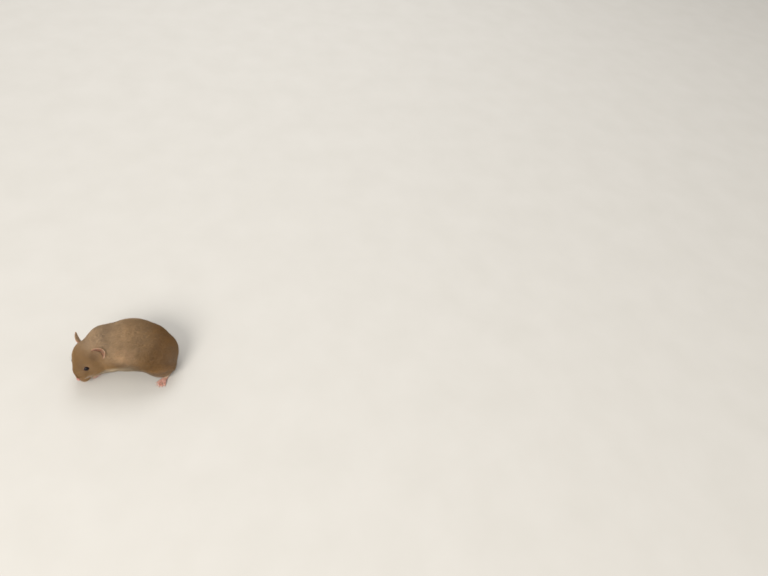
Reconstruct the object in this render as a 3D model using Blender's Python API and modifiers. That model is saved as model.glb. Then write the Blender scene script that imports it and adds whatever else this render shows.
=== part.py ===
"""Syrian hamster, life size, standing with its head turned to its left.

Metres, +Z up.  The animal faces -Y, its left side is +X, and the origin is on the floor
under its middle.  The coat counts as part of every solid, so each solid is the outer
shape that a hand would meet.  The flesh is modelled whole and then parted, with thin
cuts, into the nodes that a person would name.
"""
import math

import bmesh
import bpy
from mathutils import Matrix, Vector
from mathutils.bvhtree import BVHTree

MM = 0.001

# ---------------------------------------------------------------- driving dimensions
GAP = 0.3 * MM                    # clearance between neighbouring solids
HEAD_SCALE = 1.12                 # head against the pattern head below
HEAD_CENTRE = Vector((9.5, -42.0, 30.5)) * MM
HEAD_YAW = math.radians(52.0)     # turned to the animal's left
HEAD_PITCH = math.radians(-36.0)  # nose down
HEAD_ROLL = math.radians(6.0)     # left ear up
EYE_RADIUS = 3.0 * MM
EYE_DEPTH = 1.9 * MM              # ball's centre under the surface of the face
EAR_LENGTH = 14.6 * MM
EAR_WIDTH = 15.0 * MM
EAR_CUP = 4.2 * MM                # depth of the ear's hollow at its root
EAR_FLATTENING = 0.4              # share of that depth lost by the tip
EAR_CURL = 1.5 * MM               # how far the rim bends back at the tip
EAR_THICKNESS = 1.1 * MM
EAR_ROOT_DEPTH = 3.0 * MM         # root of the ear under the coat of the head
CLAW_LENGTH = 2.4 * MM
CLAW_RADIUS = 0.6 * MM
CLAW_TAPER = 0.3                  # its point's radius, as a share of its root's
CLAW_HEIGHT = 1.15 * MM           # of its middle line where it leaves the toe
CLAW_DROOP = 0.6 * MM             # how much lower its point is
CLAW_OFFSET = 0.9 * MM            # its root ahead of the middle of the toe's round tip
SOLE_CUT = 0.35 * MM              # what the soles lose to their flats

BODY_VOXEL = 1.3 * MM             # grid on which the flesh is fused
BODY_SMOOTHING = 14
BODY_TRIANGLES = 3200
FOOT_VOXEL = 0.4 * MM
FOOT_SMOOTHING = 2
FOOT_TRIANGLES = 200
TAIL_VOXEL = 0.7 * MM
TAIL_TRIANGLES = 200
CREASE_ANGLE = math.radians(50)   # edges sharper than this stay sharp to the eye

ZONE_FACETS = {"segments": 16, "rings": 8}

# colour (sRGB), roughness and metallic value of each finish
FINISHES = {
    "coat_tan": ((0.60, 0.45, 0.30), 0.85, 0.0),
    "coat_orange": ((0.56, 0.38, 0.22), 0.85, 0.0),
    "coat_brown": ((0.50, 0.37, 0.24), 0.85, 0.0),
    "ear_skin": ((0.66, 0.45, 0.37), 0.60, 0.0),
    "foot_skin": ((0.78, 0.55, 0.50), 0.55, 0.0),
    "nose_skin": ((0.74, 0.48, 0.44), 0.45, 0.0),
    "eye_dark": ((0.10, 0.03, 0.04), 0.08, 0.0),
    "claw_horn": ((0.80, 0.70, 0.60), 0.35, 0.0),
}

# Masses of the trunk in mm: distance along the body and height of the centre, then
# half-sizes along X, Y and Z.  Sideways they follow the bend of the spine.
TRUNK_MASSES = {
    "barrel": ((3, 32), (35, 39, 29)),
    "loin": ((20, 29.5), (32.5, 31, 26.5)),
    "rump": ((35, 26), (25.5, 23.5, 22.5)),
    "chest": ((-16, 30), (31.5, 26, 27)),
    "withers": ((-26, 37.5), (26, 22, 20.5)),
    "throat": ((-33, 30), (21, 17, 19)),
}
# Masses in pairs: the left one's distance out from the spine, along it and up.
PAIRED_MASSES = {
    "haunch": ((13, 37, 18), (17, 18, 15.5)),
    "shoulder": ((13, -20, 24), (13, 16, 17)),
}
SPINE_MIDDLE = (-2.5, -6)          # furthest right that the spine gets, and where along Y
SPINE_BEND = 0.0048               # mm sideways for each square mm along

# Masses of the pattern head in mm along its own axes: forward, left and up.
HEAD_MASSES = {
    "cranium": ((-1, 0, 2.5), (17, 16.5, 14.5)),
    "bridge": ((11, 0, 1), (14, 10, 9.5)),
    "cheek_left": ((2, 10, -6), (14.5, 10.5, 12)),
    "cheek_right": ((2, -10, -6), (14.5, 10.5, 12)),
    "temple_left": ((8, 7.5, 3.5), (8, 5, 6)),
    "temple_right": ((8, -7.5, 3.5), (8, 5, 6)),
    "jowl_left": ((10, 7, -8.5), (11, 7.5, 8)),
    "jowl_right": ((10, -7, -8.5), (11, 7.5, 8)),
    "muzzle": ((17, 0, -4.5), (11.5, 9, 8)),
    "whisker_pad_left": ((22, 4.2, -6), (6.2, 5, 5.2)),
    "whisker_pad_right": ((22, -4.2, -6), (6.2, 5, 5.2)),
    "chin": ((17, 0, -10.5), (8, 6, 5)),
}
NOSE = ((27.6, 0, -3.0), (2.0, 2.6, 1.9))
EYE_FROM = (9.0, 0, 1.0)          # inside the head, behind the eyes
EYE_TOWARDS = (0.22, 0.86, 0.40)  # outwards to the left eye
EAR_FROM = (-4.0, 0, 0)           # inside the head, between the ears
EAR_TOWARDS = (0.0, 0.85, 0.53)   # outwards to the left ear's root
EAR_GROWTH = (-0.56, 0.72, 0.40)
EAR_OPENING = (0.45, 0.55, 0.60)

# Each leg in mm: upper joint with its radius, lower joint with its radius.
LEGS = {
    "foreleg_left": ((16, -20, 16), 8.0, (15, -35.0, 5.6), 4.0),
    "foreleg_right": ((-18, -20, 16), 8.0, (-15, -33.5, 5.6), 4.0),
    "hindleg_left": ((22, 32, 13), 9.0, (25, 43, 5.6), 4.4),
    "hindleg_right": ((-19, 31, 13), 9.5, (-18, 43, 5.6), 4.4),
}
# Each foot in mm and degrees: heel on the floor, turn outwards from straight ahead
# (left is positive), length to the toe tips, and its number of toes.
FEET = {
    "forepaw_left": ((14.5, -34.0), 18, 11.5, 4),
    "forepaw_right": ((-15.0, -32.5), -10, 11.5, 4),
    "hindfoot_left": ((23.0, 43.5), 62, 19.0, 5),
    "hindfoot_right": ((-18.0, 45.5), -26, 19.0, 5),
}
FOOT_WIDTH = {4: 6.4, 5: 7.2}     # across the ball, by number of toes
TOE_FAN = {4: 46, 5: 54}          # degrees between the outer toes
WRIST_HEIGHT = 4.6                # leg above it, foot below it

# The pattern foot: along it in shares of its length, across it in shares of its width,
# heights and radii in mm.
FOOT_MASSES = {
    "sole": ((0.30, 0, 2.0), (0.36, 0.42, 2.3)),
    "ball": ((0.55, 0, 1.7), (0.17, 0.55, 1.9)),
}
ANKLE = (0.17, WRIST_HEIGHT + 1.5)
ANKLE_RADIUS = 3.3
INSTEP = (0.29, 2.2)
INSTEP_RADIUS = 2.3
TOE_ROOT = (0.60, 1.5)            # where the middle toe leaves the ball, and its height
TOE_TIP_HEIGHT = 1.05
TOE_RADII = (1.5, 1.2)
TOE_REACH = 0.36                  # length of the middle toe
TOE_SPREAD = 0.36                 # from the middle to the outer toe's root
TOE_SETBACK = 1.2                 # mm that the outer toes start further back
TOE_SHORTENING = 0.26             # share of the reach that the outer toes lack

# Each leg's zone in mm: its centre out from the hip or shoulder, along and up, then its
# half-sizes.
LEG_ZONES = {
    "fore": ((1, -6, 10), (10.5, 18, 15)),
    "hind": ((5, 6, 12), (14, 18, 15)),
}
# Seams in mm: a point on the cut and the way that its plane faces.
HEAD_SEAM = ((4, -36, 36), (0.50, -0.86, -0.05))
NECK_SEAM = ((2, -17, 38), (0.20, -0.86, 0.46))
TAIL_ROOT = (51, 17)              # along the body and up, under the spine
TAIL_TIP = (53, 8)
TAIL_RADII = (3.0, 1.3)


# ---------------------------------------------------------------- helpers
def linear(channel):
    """One sRGB channel as the linear value that a shader socket holds."""
    if channel <= 0.04045:
        return channel / 12.92
    return ((channel + 0.055) / 1.055) ** 2.4


def finish(name):
    """The material of one finish, made once and shared."""
    material = bpy.data.materials.get(name)
    if material:
        return material
    colour, roughness, metallic = FINISHES[name]
    material = bpy.data.materials.new(name)
    material.use_nodes = True
    shader = material.node_tree.nodes["Principled BSDF"]
    rgba = [linear(channel) for channel in colour] + [1.0]
    shader.inputs["Base Color"].default_value = rgba
    shader.inputs["Roughness"].default_value = roughness
    shader.inputs["Metallic"].default_value = metallic
    material.diffuse_color = rgba
    return material


def new_collection(name):
    collection = bpy.data.collections.new(name)
    bpy.context.scene.collection.children.link(collection)
    return collection


def new_object(name, bm, collection, finish_name=None):
    """Turn a bmesh into an object of that collection."""
    mesh = bpy.data.meshes.new(name)
    bm.to_mesh(mesh)
    bm.free()
    obj = bpy.data.objects.new(name, mesh)
    collection.objects.link(obj)
    if finish_name:
        mesh.materials.append(finish(finish_name))
    return obj


def new_cutter(name, bm):
    cutter = new_object(name, bm, cutters)
    cutter.hide_render = True
    cutter.display_type = "WIRE"
    return cutter


def add_ellipsoid(bm, centre, half_sizes, frame=None, segments=24, rings=12):
    """Add an ellipsoid given in mm, along the axes of frame."""
    place = Matrix.Translation(Vector(centre) * MM) @ Matrix.Diagonal(Vector(half_sizes) * MM).to_4x4()
    if frame:
        place = frame @ place
    bmesh.ops.create_uvsphere(bm, u_segments=segments, v_segments=rings, radius=1.0, matrix=place)


def add_limb(bm, start, start_radius, end, end_radius, segments=16):
    """Add a tapered limb with round ends between two points in mm."""
    start = Vector(start) * MM
    end = Vector(end) * MM
    along = end - start
    turn = along.to_track_quat("Z", "Y").to_matrix().to_4x4()
    middle = Matrix.Translation((start + end) / 2) @ turn
    bmesh.ops.create_cone(bm, cap_ends=True, segments=segments, radius1=start_radius * MM,
                          radius2=end_radius * MM, depth=along.length, matrix=middle)
    for point, radius in ((start, start_radius), (end, end_radius)):
        bmesh.ops.create_uvsphere(bm, u_segments=segments, v_segments=segments // 2,
                                  radius=radius * MM, matrix=Matrix.Translation(point))


def bake(obj):
    """Replace an object's mesh by what its modifiers make of it."""
    bpy.context.view_layer.update()
    graph = bpy.context.evaluated_depsgraph_get()
    mesh = bpy.data.meshes.new_from_object(obj.evaluated_get(graph))
    obj.modifiers.clear()
    obj.data = mesh


def fuse(obj, voxel, smoothing, triangles):
    """Melt an object's overlapping masses into one smooth skin of about that many triangles."""
    remesh = obj.modifiers.new("Fuse", "REMESH")
    remesh.mode = "VOXEL"
    remesh.voxel_size = voxel
    bake(obj)
    smooth = obj.modifiers.new("Smooth", "SMOOTH")
    smooth.factor = 0.5
    smooth.iterations = smoothing
    bake(obj)
    obj.data.calc_loop_triangles()
    thin = obj.modifiers.new("Thin", "DECIMATE")
    thin.ratio = min(1.0, triangles / len(obj.data.loop_triangles))
    thin.use_collapse_triangulate = True
    bake(obj)


def carve(obj, cutter, operation):
    """Cut an object with another, or keep only what the two share."""
    boolean = obj.modifiers.new("Carve", "BOOLEAN")
    boolean.object = cutter
    boolean.operation = operation
    boolean.solver = "EXACT"
    bake(obj)


def copy_of(obj, name, collection):
    twin = obj.copy()
    twin.data = obj.data.copy()
    twin.name = name
    collection.objects.link(twin)
    return twin


def swell(obj, name):
    """A cutter in the shape of obj, larger all round by the gap."""
    cutter = copy_of(obj, name, cutters)
    cutter.hide_render = True
    cutter.display_type = "WIRE"
    displace = cutter.modifiers.new("Swell", "DISPLACE")
    displace.strength = GAP
    displace.mid_level = 0.0
    bake(cutter)
    return cutter


def part_off(rest, zone, name, finish_name):
    """Move what lies inside a zone from rest to a new node, and leave a thin cut between."""
    node = copy_of(rest, name, animal)
    node.data.materials.clear()
    node.data.materials.append(finish(finish_name))
    carve(node, zone, "INTERSECT")
    carve(rest, swell(zone, "swollen_" + zone.name), "DIFFERENCE")
    return node


def head_frame():
    """The pattern head's axes: forward, left and up, turned and scaled into place."""
    forward = Vector((math.sin(HEAD_YAW), -math.cos(HEAD_YAW), 0.0))
    left = Vector((math.cos(HEAD_YAW), math.sin(HEAD_YAW), 0.0))
    up = Vector((0.0, 0.0, 1.0))
    nod_forward = forward * math.cos(HEAD_PITCH) + up * math.sin(HEAD_PITCH)
    nod_up = up * math.cos(HEAD_PITCH) - forward * math.sin(HEAD_PITCH)
    lean_left = left * math.cos(HEAD_ROLL) + nod_up * math.sin(HEAD_ROLL)
    lean_up = nod_up * math.cos(HEAD_ROLL) - left * math.sin(HEAD_ROLL)
    turn = Matrix((nod_forward, lean_left, lean_up)).transposed().to_4x4()
    return Matrix.Translation(HEAD_CENTRE) @ turn @ Matrix.Scale(HEAD_SCALE, 4)


def mirrored(point, side):
    """A point or direction given for the left, taken to the side +1 left or -1 right."""
    return Vector((point[0], point[1] * side, point[2]))


def spine_x(along):
    """Sideways place of the spine in mm: the animal bends to its left at both ends."""
    middle_x, middle_y = SPINE_MIDDLE
    return middle_x + SPINE_BEND * (along - middle_y) ** 2


# ---------------------------------------------------------------- flesh, whole
def whole_flesh():
    """Trunk, throat, head and legs as one smooth skin."""
    bm = bmesh.new()
    for (along, height), half_sizes in TRUNK_MASSES.values():
        add_ellipsoid(bm, (spine_x(along), along, height), half_sizes)
    for (out, along, height), half_sizes in PAIRED_MASSES.values():
        for side in (1, -1):
            add_ellipsoid(bm, (spine_x(along) + out * side, along, height), half_sizes)
    for centre, half_sizes in HEAD_MASSES.values():
        add_ellipsoid(bm, centre, half_sizes, HEAD)
    for upper, upper_radius, lower, lower_radius in LEGS.values():
        add_limb(bm, upper, upper_radius, lower, lower_radius)
    flesh = new_object("trunk", bm, animal, "coat_tan")
    fuse(flesh, BODY_VOXEL, BODY_SMOOTHING, BODY_TRIANGLES)
    return flesh


# ---------------------------------------------------------------- zones of the cuts
def leg_zone(name):
    """The space of one leg: an egg round its bones, out from the body's side."""
    joint = LEGS[name][0]
    (out, along, height), half_sizes = LEG_ZONES[name[:4]]
    side = 1 if joint[0] > 0 else -1
    bm = bmesh.new()
    add_ellipsoid(bm, (joint[0] + out * side, joint[1] + along, height), half_sizes, **ZONE_FACETS)
    return new_cutter("zone_" + name, bm)


def ahead_of(name, point, facing):
    """A block whose rear face goes through a point in mm, square to facing."""
    size = 90 * MM
    facing = Vector(facing).normalized()
    turn = facing.to_track_quat("Z", "Y").to_matrix().to_4x4()
    place = Matrix.Translation(Vector(point) * MM + facing * size / 2) @ turn
    bm = bmesh.new()
    bmesh.ops.create_cube(bm, size=size, matrix=place)
    return new_cutter(name, bm)


def floor_block(name, height):
    """A block that holds everything from the given height in mm up."""
    size = 200 * MM
    bm = bmesh.new()
    bmesh.ops.create_cube(bm, size=size, matrix=Matrix.Translation((0, 0, height * MM + size / 2)))
    return new_cutter(name, bm)


# ---------------------------------------------------------------- face
def surface_point(tree, start, towards, side):
    """Where a line from inside the head comes out, and its direction."""
    outwards = (HEAD.to_3x3() @ mirrored(towards, side)).normalized()
    return tree.ray_cast(HEAD @ (Vector(start) * MM), outwards)[0], outwards


def make_nose(head):
    bm = bmesh.new()
    add_ellipsoid(bm, NOSE[0], NOSE[1], HEAD, segments=12, rings=8)
    nose = new_object("nose", bm, animal, "nose_skin")
    carve(head, swell(nose, "swollen_nose"), "DIFFERENCE")


def make_eye(flesh_tree, head, name, side):
    """A ball sunk into the face."""
    surface, outwards = surface_point(flesh_tree, EYE_FROM, EYE_TOWARDS, side)
    centre = surface - outwards * EYE_DEPTH
    turn = outwards.to_track_quat("Z", "Y").to_matrix().to_4x4()
    bm = bmesh.new()
    bmesh.ops.create_uvsphere(bm, u_segments=16, v_segments=10, radius=EYE_RADIUS,
                              matrix=Matrix.Translation(centre) @ turn)
    eye = new_object(name, bm, animal, "eye_dark")
    carve(head, swell(eye, "swollen_" + name), "DIFFERENCE")


def make_ear(flesh_tree, flesh_surface, name, side):
    """A thin cupped leaf that grows out of the head."""
    surface, outwards = surface_point(flesh_tree, EAR_FROM, EAR_TOWARDS, side)
    root = HEAD.inverted() @ (surface - outwards * EAR_ROOT_DEPTH)
    growth = mirrored(EAR_GROWTH, side).normalized()
    opening = mirrored(EAR_OPENING, side)
    opening = (opening - growth * opening.dot(growth)).normalized()
    across = growth.cross(opening) * side
    bm = bmesh.new()
    bmesh.ops.create_grid(bm, x_segments=8, y_segments=8, size=1.0)
    for vert in bm.verts:
        square = vert.co.copy()
        sideways = square.x * math.sqrt(1 - square.y ** 2 / 2)      # the square becomes a disc
        height = (square.y * math.sqrt(1 - square.x ** 2 / 2) + 1) / 2
        cup = EAR_CUP * (1 - EAR_FLATTENING * height) * (1 - sideways ** 2)
        curl = EAR_CURL * height ** 2
        vert.co = (root + growth * (EAR_LENGTH * height) + across * (EAR_WIDTH / 2 * sideways)
                   - opening * (cup + curl))
    bmesh.ops.transform(bm, matrix=HEAD, verts=bm.verts)
    bmesh.ops.recalc_face_normals(bm, faces=bm.faces)
    ear = new_object(name, bm, animal, "ear_skin")
    wall = ear.modifiers.new("Wall", "SOLIDIFY")
    wall.thickness = EAR_THICKNESS
    wall.offset = 0.0
    bake(ear)
    carve(ear, flesh_surface, "DIFFERENCE")


# ---------------------------------------------------------------- feet and claws
def foot_frame(heel, turn_degrees):
    """Forward along the foot, left across it, up; the origin under the heel."""
    return (Matrix.Translation((heel[0] * MM, heel[1] * MM, 0))
            @ Matrix.Rotation(math.radians(turn_degrees - 90), 4, "Z"))


def toe_lines(length, toes):
    """Root and tip of each toe in mm, in the foot's own frame, from right to left."""
    for index in range(toes):
        across = index / (toes - 1) * 2 - 1
        angle = math.radians(TOE_FAN[toes] / 2 * across)
        root = Vector((length * TOE_ROOT[0] - abs(across) * TOE_SETBACK,
                       across * FOOT_WIDTH[toes] * TOE_SPREAD, TOE_ROOT[1]))
        reach = length * TOE_REACH * (1 - TOE_SHORTENING * across ** 2)
        tip = root + Vector((math.cos(angle), math.sin(angle), 0)) * reach
        tip.z = TOE_TIP_HEIGHT
        yield root, tip


def make_foot(name):
    """A flat-soled foot with its toes, from the floor up to the wrist."""
    heel, turn_degrees, length, toes = FEET[name]
    width = FOOT_WIDTH[toes]
    bm = bmesh.new()
    for (along, across, up), (half_length, half_width, half_height) in FOOT_MASSES.values():
        add_ellipsoid(bm, (length * along, width * across, up),
                      (length * half_length, width * half_width, half_height))
    add_limb(bm, (length * ANKLE[0], 0, ANKLE[1]), ANKLE_RADIUS,
             (length * INSTEP[0], 0, INSTEP[1]), INSTEP_RADIUS)
    for root, tip in toe_lines(length, toes):
        add_limb(bm, root, TOE_RADII[0], tip, TOE_RADII[1], segments=12)
    bmesh.ops.transform(bm, matrix=foot_frame(heel, turn_degrees), verts=bm.verts)
    foot = new_object(name, bm, animal, "foot_skin")
    fuse(foot, FOOT_VOXEL, FOOT_SMOOTHING, FOOT_TRIANGLES)
    lowest = min(vert.co.z for vert in foot.data.vertices)
    foot.data.transform(Matrix.Translation((0, 0, -SOLE_CUT - lowest)))
    carve(foot, floor_block("floor_" + name, 0.0), "INTERSECT")
    carve(foot, floor_block("wrist_" + name, WRIST_HEIGHT), "DIFFERENCE")
    return foot


def make_claws(foot_name, foot_space):
    """A short bent claw on each toe, with a gap to the toe that it grows from."""
    heel, turn_degrees, length, toes = FEET[foot_name]
    frame = foot_frame(heel, turn_degrees)
    for number, (root, tip) in enumerate(toe_lines(length, toes), start=1):
        along = (tip - root).normalized()
        along.z = 0
        base = Vector((tip.x * MM, tip.y * MM, CLAW_HEIGHT)) + along * CLAW_OFFSET
        bm = bmesh.new()
        bmesh.ops.create_cone(bm, cap_ends=True, segments=6, radius1=CLAW_RADIUS,
                              radius2=CLAW_RADIUS * CLAW_TAPER, depth=CLAW_LENGTH)
        sides = [edge for edge in bm.edges if edge.verts[0].co.z * edge.verts[1].co.z < 0]
        bmesh.ops.subdivide_edges(bm, edges=sides, cuts=1)
        turn = along.to_track_quat("Z", "Y").to_matrix().to_4x4()
        place = Matrix.Translation(base + along * CLAW_LENGTH / 2) @ turn
        bmesh.ops.transform(bm, matrix=place, verts=bm.verts)
        for vert in bm.verts:
            reach = (vert.co - base).dot(along) / CLAW_LENGTH
            vert.co.z -= CLAW_DROOP * reach ** 2
        bmesh.ops.transform(bm, matrix=frame, verts=bm.verts)
        claw = new_object(f"claw_{foot_name}_{number}", bm, animal, "claw_horn")
        carve(claw, foot_space, "DIFFERENCE")


# ---------------------------------------------------------------- tail
def make_tail(trunk):
    (root_y, root_z), (tip_y, tip_z) = TAIL_ROOT, TAIL_TIP
    bm = bmesh.new()
    add_limb(bm, (spine_x(root_y), root_y, root_z), TAIL_RADII[0],
             (spine_x(tip_y), tip_y, tip_z), TAIL_RADII[1], segments=12)
    tail = new_object("tail", bm, animal, "coat_brown")
    fuse(tail, TAIL_VOXEL, FOOT_SMOOTHING, TAIL_TRIANGLES)
    carve(tail, swell(trunk, "swollen_trunk"), "DIFFERENCE")


# ---------------------------------------------------------------- frame
def centre_over_origin(objects):
    """Slide the nodes so that the middle of their box stands over the origin."""
    corners = [vert.co for obj in objects for vert in obj.data.vertices]
    middle = [(min(co[axis] for co in corners) + max(co[axis] for co in corners)) / 2 for axis in (0, 1)]
    for obj in objects:
        obj.data.transform(Matrix.Translation((-middle[0], -middle[1], 0)))


# ---------------------------------------------------------------- the animal
for old in list(bpy.data.objects):
    bpy.data.objects.remove(old, do_unlink=True)

animal = new_collection("syrian_hamster")
cutters = new_collection("cutters")
HEAD = head_frame()

trunk = whole_flesh()
flesh_surface = swell(trunk, "swollen_flesh")
flesh_tree = BVHTree.FromObject(trunk, bpy.context.evaluated_depsgraph_get())
ankles = floor_block("ankles", WRIST_HEIGHT + GAP / MM)
for leg in LEGS:
    carve(part_off(trunk, leg_zone(leg), leg, "coat_tan"), ankles, "INTERSECT")
head = part_off(trunk, ahead_of("zone_head", *HEAD_SEAM), "head", "coat_orange")
neck = part_off(trunk, ahead_of("zone_neck", *NECK_SEAM), "neck", "coat_tan")

make_nose(head)
for side, name in ((1, "left"), (-1, "right")):
    make_eye(flesh_tree, head, "eye_" + name, side)
    make_ear(flesh_tree, flesh_surface, "ear_" + name, side)
make_tail(trunk)
for name in FEET:
    foot = make_foot(name)
    foot_space = swell(foot, "swollen_" + name)
    for neighbour in (trunk, neck, head):
        carve(neighbour, foot_space, "DIFFERENCE")
    make_claws(name, foot_space)

centre_over_origin(animal.objects)
for obj in animal.objects:
    obj.data.shade_smooth()
    obj.data.set_sharp_from_angle(angle=CREASE_ANGLE)
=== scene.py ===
import math

import bmesh
import bpy
import numpy as np
from mathutils import Matrix, Vector
from mathutils.bvhtree import BVHTree
from mathutils.kdtree import KDTree


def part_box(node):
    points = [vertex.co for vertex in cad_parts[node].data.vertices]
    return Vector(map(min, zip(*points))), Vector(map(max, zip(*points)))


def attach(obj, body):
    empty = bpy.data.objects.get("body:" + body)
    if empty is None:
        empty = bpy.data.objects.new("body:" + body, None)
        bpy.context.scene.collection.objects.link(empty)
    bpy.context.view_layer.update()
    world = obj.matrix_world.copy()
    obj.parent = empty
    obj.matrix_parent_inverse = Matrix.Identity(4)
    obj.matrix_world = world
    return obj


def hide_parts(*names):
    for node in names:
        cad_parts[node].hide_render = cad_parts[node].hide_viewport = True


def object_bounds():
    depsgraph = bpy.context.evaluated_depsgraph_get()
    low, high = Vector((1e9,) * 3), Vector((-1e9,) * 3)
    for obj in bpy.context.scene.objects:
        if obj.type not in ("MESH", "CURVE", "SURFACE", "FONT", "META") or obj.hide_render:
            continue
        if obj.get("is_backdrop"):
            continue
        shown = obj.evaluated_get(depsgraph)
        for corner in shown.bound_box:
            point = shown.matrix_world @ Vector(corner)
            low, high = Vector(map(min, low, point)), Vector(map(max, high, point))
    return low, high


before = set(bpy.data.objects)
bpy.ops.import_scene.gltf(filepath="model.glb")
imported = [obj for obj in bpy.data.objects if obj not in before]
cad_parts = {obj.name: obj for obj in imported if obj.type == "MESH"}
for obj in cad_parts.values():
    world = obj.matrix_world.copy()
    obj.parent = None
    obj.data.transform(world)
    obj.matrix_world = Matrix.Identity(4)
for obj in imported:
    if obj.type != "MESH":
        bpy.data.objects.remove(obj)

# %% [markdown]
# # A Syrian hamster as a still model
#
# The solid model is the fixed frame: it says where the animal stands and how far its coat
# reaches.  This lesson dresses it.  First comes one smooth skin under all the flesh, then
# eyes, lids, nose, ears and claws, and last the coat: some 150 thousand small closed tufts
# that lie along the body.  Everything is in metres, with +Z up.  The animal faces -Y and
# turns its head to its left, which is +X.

MM = 0.001
cad_box = [list(corner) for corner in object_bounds()]


def in_mm(values):
    """Lengths in mm, rounded to be printed."""
    return [round(value / MM, 1) for value in values]


print("box of the solids, mm:", [in_mm(corner) for corner in cad_box])

# %% [markdown]
# The head is turned, dropped and tilted, so its features are easier to place along its own
# axes: forward, left and up.  Two eyes and a nose fix those axes.  The line between the eyes
# gives left, and the nose lies a known angle below the way that the skull faces.

# %% The head's own axes
NOSE_DROP = math.radians(27.7)  # of the line from between the eyes to the nose
NOSE_REACH = 30.9 * MM  # from the middle of the skull forward to the nose
NOSE_SINK = 3.4 * MM  # and down to it


def middle(node):
    """Centre of a solid's box."""
    low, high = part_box(node)
    return (Vector(low) + Vector(high)) / 2


def axes_at(place, first, second, third):
    """The frame at a place with three directions for its axes."""
    return Matrix.Translation(place) @ Matrix((first, second, third)).transposed().to_4x4()


eye_places = {"left": middle("eye_left"), "right": middle("eye_right")}
nose_place = middle("nose")
head_left = (eye_places["left"] - eye_places["right"]).normalized()
to_nose = nose_place - (eye_places["left"] + eye_places["right"]) / 2
to_nose = (to_nose - head_left * to_nose.dot(head_left)).normalized()
head_forward = Matrix.Rotation(-NOSE_DROP, 3, head_left) @ to_nose
head_up = head_forward.cross(head_left)
head_centre = nose_place - head_forward * NOSE_REACH + head_up * NOSE_SINK
HEAD = axes_at(head_centre, head_forward, head_left, head_up)
print("middle of the head, mm:", in_mm(head_centre))


def on_head(forward, left, up):
    """A point given in mm along the head's axes."""
    return HEAD @ (Vector((forward, left, up)) * MM)


# %% [markdown]
# Points are handled by the thousand here, so they live in arrays.  A few small helpers turn
# meshes into arrays and back, and blur a value over a surface so that one part of the body
# runs into the next without a step.

# %% Meshes as arrays
SAME_PLACE = 0.001 * MM  # points nearer than this are one


def rows_of(items, name, width, kind=float):
    """A value of every vertex, edge or triangle, one row for each."""
    found = np.empty(len(items) * width, dtype=kind)
    items.foreach_get(name, found)
    return found.reshape(-1, width)


def points_of(mesh):
    return rows_of(mesh.vertices, "co", 3)


def normals_of(mesh):
    return rows_of(mesh.vertex_normals, "vector", 3)


def triangles_of(mesh):
    mesh.calc_loop_triangles()
    return rows_of(mesh.loop_triangles, "vertices", 3, np.int32)


def tree_of(mesh):
    """A tree that finds places on a mesh."""
    return BVHTree.FromPolygons(points_of(mesh).tolist(), triangles_of(mesh).tolist())


def place_points(mesh, points):
    mesh.vertices.foreach_set("co", points.ravel())
    mesh.update()


def blur(values, edges, rounds):
    """Average a value, or a row of values, with those of the neighbouring points."""
    values = np.array(values, dtype=float)
    columns = values.reshape(len(values), -1)
    count = np.bincount(edges.ravel(), minlength=len(columns)) + 1.0
    for _ in range(rounds):
        for column in range(columns.shape[1]):
            total = columns[:, column].copy()
            total += np.bincount(edges[:, 0], columns[edges[:, 1], column], len(columns))
            total += np.bincount(edges[:, 1], columns[edges[:, 0], column], len(columns))
            columns[:, column] = total / count
    return columns.reshape(values.shape)


def unit(rows):
    return rows / np.maximum(np.linalg.norm(rows, axis=1, keepdims=True), 1e-12)


def gap_to(place, points):
    """How far points lie from a place."""
    return np.linalg.norm(points - np.array(place), axis=1)


def from_eyes(points):
    """How far points lie from the nearer eye."""
    return np.min([gap_to(place, points) for place in eye_places.values()], axis=0)


def ease(values, low, high):
    """0 below low, 1 above high, smooth between."""
    share = np.clip((values - low) / (high - low), 0, 1)
    return share * share * (3 - 2 * share)


def bake(piece):
    """Replace a piece's mesh by what its modifiers make of it."""
    bpy.context.view_layer.update()
    graph = bpy.context.evaluated_depsgraph_get()
    mesh = bpy.data.meshes.new_from_object(piece.evaluated_get(graph))
    piece.modifiers.clear()
    piece.data = mesh


def link(name, mesh):
    piece = bpy.data.objects.new(name, mesh)
    bpy.context.scene.collection.objects.link(piece)
    return piece


def new_piece(name, bm):
    mesh = bpy.data.meshes.new(name)
    bm.to_mesh(mesh)
    bm.free()
    return link(name, mesh)


def round_off(piece, levels):
    rounding = piece.modifiers.new("Round off", "SUBSURF")
    rounding.levels = rounding.render_levels = levels


def dress(piece, slot, *nodes):
    """Shade a piece smooth and say its body and the solids it replaces; the slot is not used."""
    piece.data.shade_smooth()
    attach(piece, "root")
    if nodes:
        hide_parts(*nodes)
    return piece


# %% [markdown]
# ## The skin
#
# A living body has one skin with no seams.  Box modelling could make it, but the solids
# already have the right form, so copies of them are melted together: each copy swells until
# it meets its neighbours, and a voxel remesh keeps only the outside.  A decimate then thins
# it out, and it is made finer again where small forms come, at muzzle and toes.

# %% One skin out of all the flesh
FEET = ("forepaw_left", "forepaw_right", "hindfoot_left", "hindfoot_right")
LEGS = ("foreleg_left", "foreleg_right", "hindleg_left", "hindleg_right")
FLESH = ("trunk", "neck", "head", "tail") + LEGS + FEET
SWELL = 0.26 * MM  # closes the cuts between the solids
SKIN_VOXEL = 0.5 * MM
SKIN_TRIANGLES = 130000
FINE_AT_NOSE = 13 * MM
FINE_AT_TOES = 6 * MM


def edit(piece, change, *settings):
    """Change a piece's mesh with bmesh."""
    bm = bmesh.new()
    bm.from_mesh(piece.data)
    change(bm, *settings)
    bm.to_mesh(piece.data)
    bm.free()


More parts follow.
